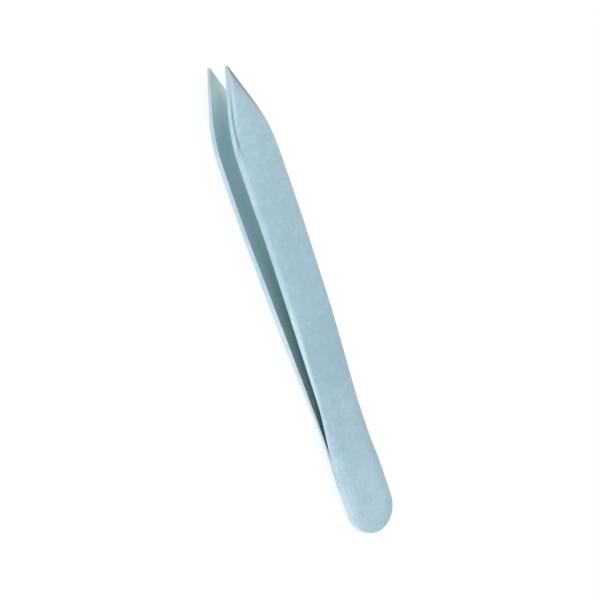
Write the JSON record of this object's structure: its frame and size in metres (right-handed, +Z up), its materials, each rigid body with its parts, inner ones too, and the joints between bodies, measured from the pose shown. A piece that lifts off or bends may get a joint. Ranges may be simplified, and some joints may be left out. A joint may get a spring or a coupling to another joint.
{
  "type": "pointed flat-body tweezers",
  "caption": "Steel tweezers: flat arms welded face to face at a rounded closed end, springing apart to a wide grip and ground to sharp parallel points.",
  "frame": {"origin": "middle of the footprint, on the surface that the tweezers lie on", "axes": "+X along the tool from the rounded closed end to the points, +Y across the blades, +Z up, through both arms"},
  "size_m": [0.0951, 0.011, 0.0082],
  "materials": {
    "satin_steel": "fine matt satin stainless steel with a cool blue-grey cast, edges slightly brighter where they are tumbled"
  },
  "bodies": {
    "root": {"upper_arm": "satin_steel", "lower_arm": "satin_steel"}
  },
  "joints": []
}
